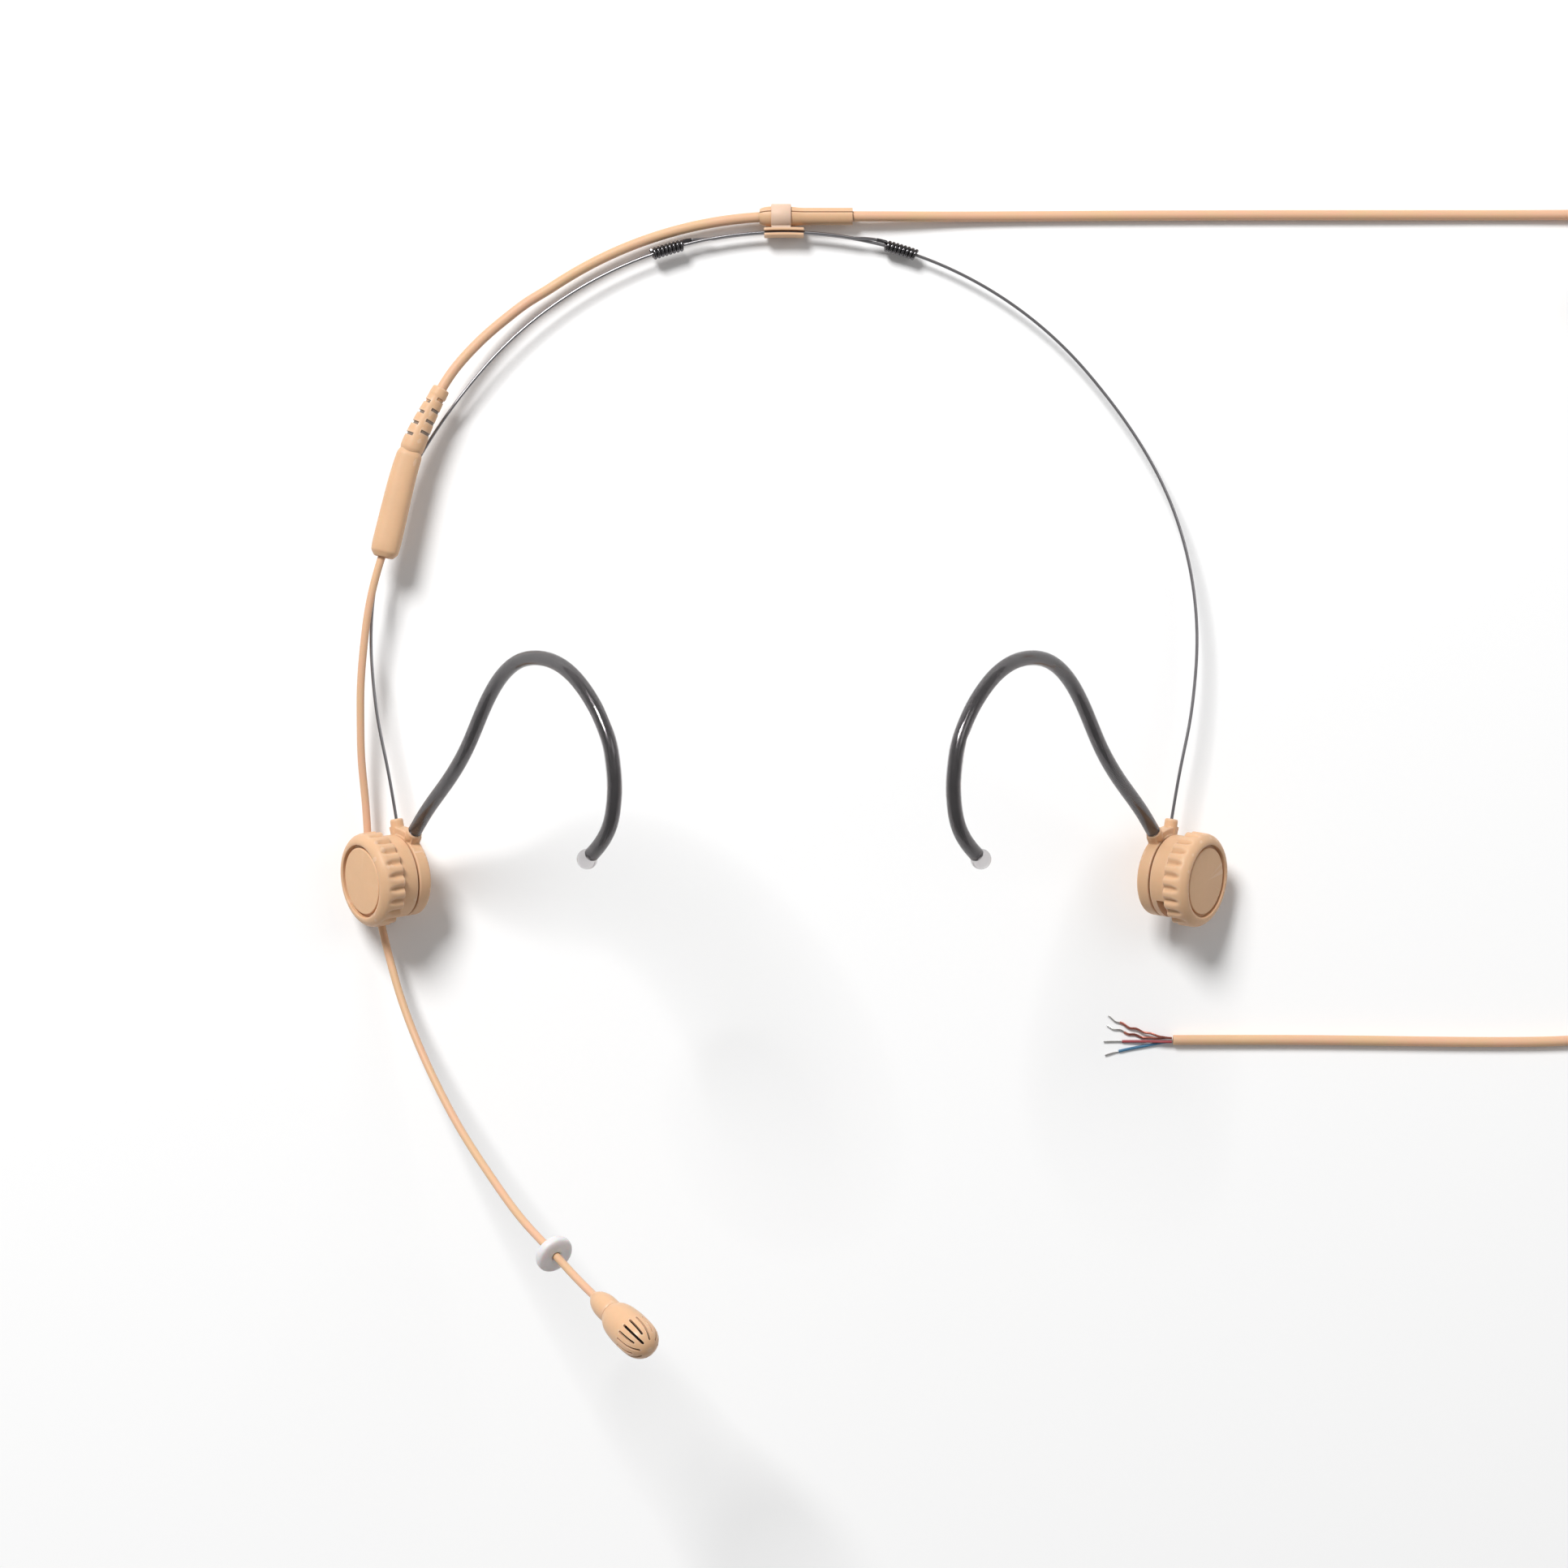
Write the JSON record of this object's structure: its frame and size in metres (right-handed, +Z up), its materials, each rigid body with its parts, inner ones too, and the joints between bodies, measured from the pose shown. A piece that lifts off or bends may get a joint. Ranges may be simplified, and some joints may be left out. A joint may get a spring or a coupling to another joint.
{
  "type": "headset microphone",
  "caption": "Stage headset microphone: sliding two-wire neckband, ear hooks, hubs with thumb knobs, a boom with a slotted capsule and a cable with bare leads.",
  "frame": {"origin": "under the middle of the headset without its free cord, on the surface it lies on", "axes": "+X towards the wearer's right, +Y towards the back of the head, +Z up; the clip and both hubs touch z = 0"},
  "size_m": [0.2226, 0.173, 0.0595],
  "materials": {
    "tan_plastic": "satin moulded plastic",
    "cap_plastic": "satin moulded plastic, a little darker",
    "clip_plastic": "matt moulded plastic, a little pinker",
    "cable_jacket": "matt extruded jacket",
    "spring_steel": "drawn spring wire",
    "turned_steel": "turned",
    "brass": "turned",
    "nylon": "matt",
    "clear_tube": "clear silicone tube",
    "white_silicone": "soft milky silicone",
    "dark_mesh": "fine dark screen",
    "copper": "bare stranded copper",
    "red_insulation": "thin insulation",
    "blue_insulation": "thin insulation"
  },
  "bodies": {
    "clip": {"wire_channel": "tan_plastic", "clip_loop": "clip_plastic", "cord_run_out": "cable_jacket", "cord_coil": "cable_jacket", "cord_tie": "nylon", "cord_run_back": "cable_jacket", "lead_red": "red_insulation", "lead_screen_upper": "copper", "lead_screen_lower": "copper", "lead_blue": "blue_insulation"},
    "sleeve": {"cable_sleeve": "tan_plastic"},
    "left_band": {"left_band_wire": "spring_steel", "left_ear_plate": "tan_plastic", "left_axle_stud": "turned_steel", "left_hook_wire": "spring_steel", "left_hook_tube": "clear_tube", "left_friction_washer": "nylon", "mic_lead": "cable_jacket", "main_cable": "cable_jacket", "joint_barrel": "tan_plastic", "strain_relief": "tan_plastic"},
    "right_band": {"right_band_wire": "spring_steel", "right_ear_plate": "tan_plastic", "right_axle_stud": "turned_steel", "right_hook_wire": "spring_steel", "right_hook_tube": "clear_tube", "right_friction_washer": "nylon"},
    "left_ring": {"left_clamp_ring": "tan_plastic"},
    "right_ring": {"right_clamp_ring": "tan_plastic"},
    "left_press": {"left_thrust_washer": "turned_steel"},
    "right_press": {"right_thrust_washer": "turned_steel"},
    "left_knob": {"left_knob": "tan_plastic", "left_knob_insert": "brass", "left_knob_cap": "cap_plastic"},
    "right_knob": {"right_knob": "tan_plastic", "right_knob_insert": "brass", "right_knob_cap": "cap_plastic"},
    "boom": {"mic_boom": "cable_jacket", "capsule_boot": "tan_plastic", "mic_cartridge": "turned_steel"},
    "sweat_guard": {"sweat_guard": "white_silicone"},
    "mic_cap": {"mic_cap": "tan_plastic", "mic_screen": "dark_mesh"}
  },
  "joints": [
    {"name": "left_band_slide", "type": "hinge", "parent": "clip", "child": "left_band", "pos_m": [0, 0.02036, 0.00476], "axis": [0, 0.0436, 0.999], "range_deg": [-2, 6]},
    {"name": "right_band_slide", "type": "hinge", "parent": "clip", "child": "right_band", "pos_m": [0, 0.02036, 0.00476], "axis": [0, -0.0436, -0.999], "range_deg": [-2, 6]},
    {"name": "sleeve_turn", "type": "hinge", "parent": "clip", "child": "sleeve", "pos_m": [0, 0.08459, 0.00196], "axis": [1, 0, 0], "range_deg": [-90, 90]},
    {"name": "left_boom_swing", "type": "hinge", "parent": "left_band", "child": "left_ring", "pos_m": [-0.0579, -0.01779, 0.005], "axis": [-0.8091, -0.1281, 0.5736], "range_deg": [-30, 25]},
    {"name": "right_ring_turn", "type": "hinge", "parent": "right_band", "child": "right_ring", "pos_m": [0.0579, -0.01779, 0.005], "axis": [0.8091, -0.1281, 0.5736], "range_deg": [-30, 30]},
    {"name": "left_press_slide", "type": "slide", "parent": "left_band", "child": "left_press", "axis": [-0.8091, -0.1281, 0.5736], "range_m": [0, 0.0004]},
    {"name": "right_press_slide", "type": "slide", "parent": "right_band", "child": "right_press", "axis": [0.8091, -0.1281, 0.5736], "range_m": [0, 0.0004]},
    {"name": "left_knob_turn", "type": "hinge", "parent": "left_press", "child": "left_knob", "pos_m": [-0.0579, -0.01779, 0.005], "axis": [-0.8091, -0.1281, 0.5736], "range_deg": [0, 180]},
    {"name": "right_knob_turn", "type": "hinge", "parent": "right_press", "child": "right_knob", "pos_m": [0.0579, -0.01779, 0.005], "axis": [0.8091, -0.1281, 0.5736], "range_deg": [0, 180]},
    {"name": "boom_slide", "type": "slide", "parent": "left_ring", "child": "boom", "axis": [0.1564, -0.9877, 0], "range_m": [0, 0.006]},
    {"name": "sweat_guard_slide", "type": "slide", "parent": "boom", "child": "sweat_guard", "axis": [0.5593, -0.4676, 0.6845], "range_m": [-0.0015, 0.0025]},
    {"name": "mic_cap_pull", "type": "slide", "parent": "boom", "child": "mic_cap", "axis": [0.5675, -0.4242, 0.7057], "range_m": [0, 0.009]}
  ],
  "couplings": [
    {"joint": "left_knob_turn", "follows": "left_press_slide", "rad_per_m": 7854},
    {"joint": "right_knob_turn", "follows": "right_press_slide", "rad_per_m": 7854}
  ]
}
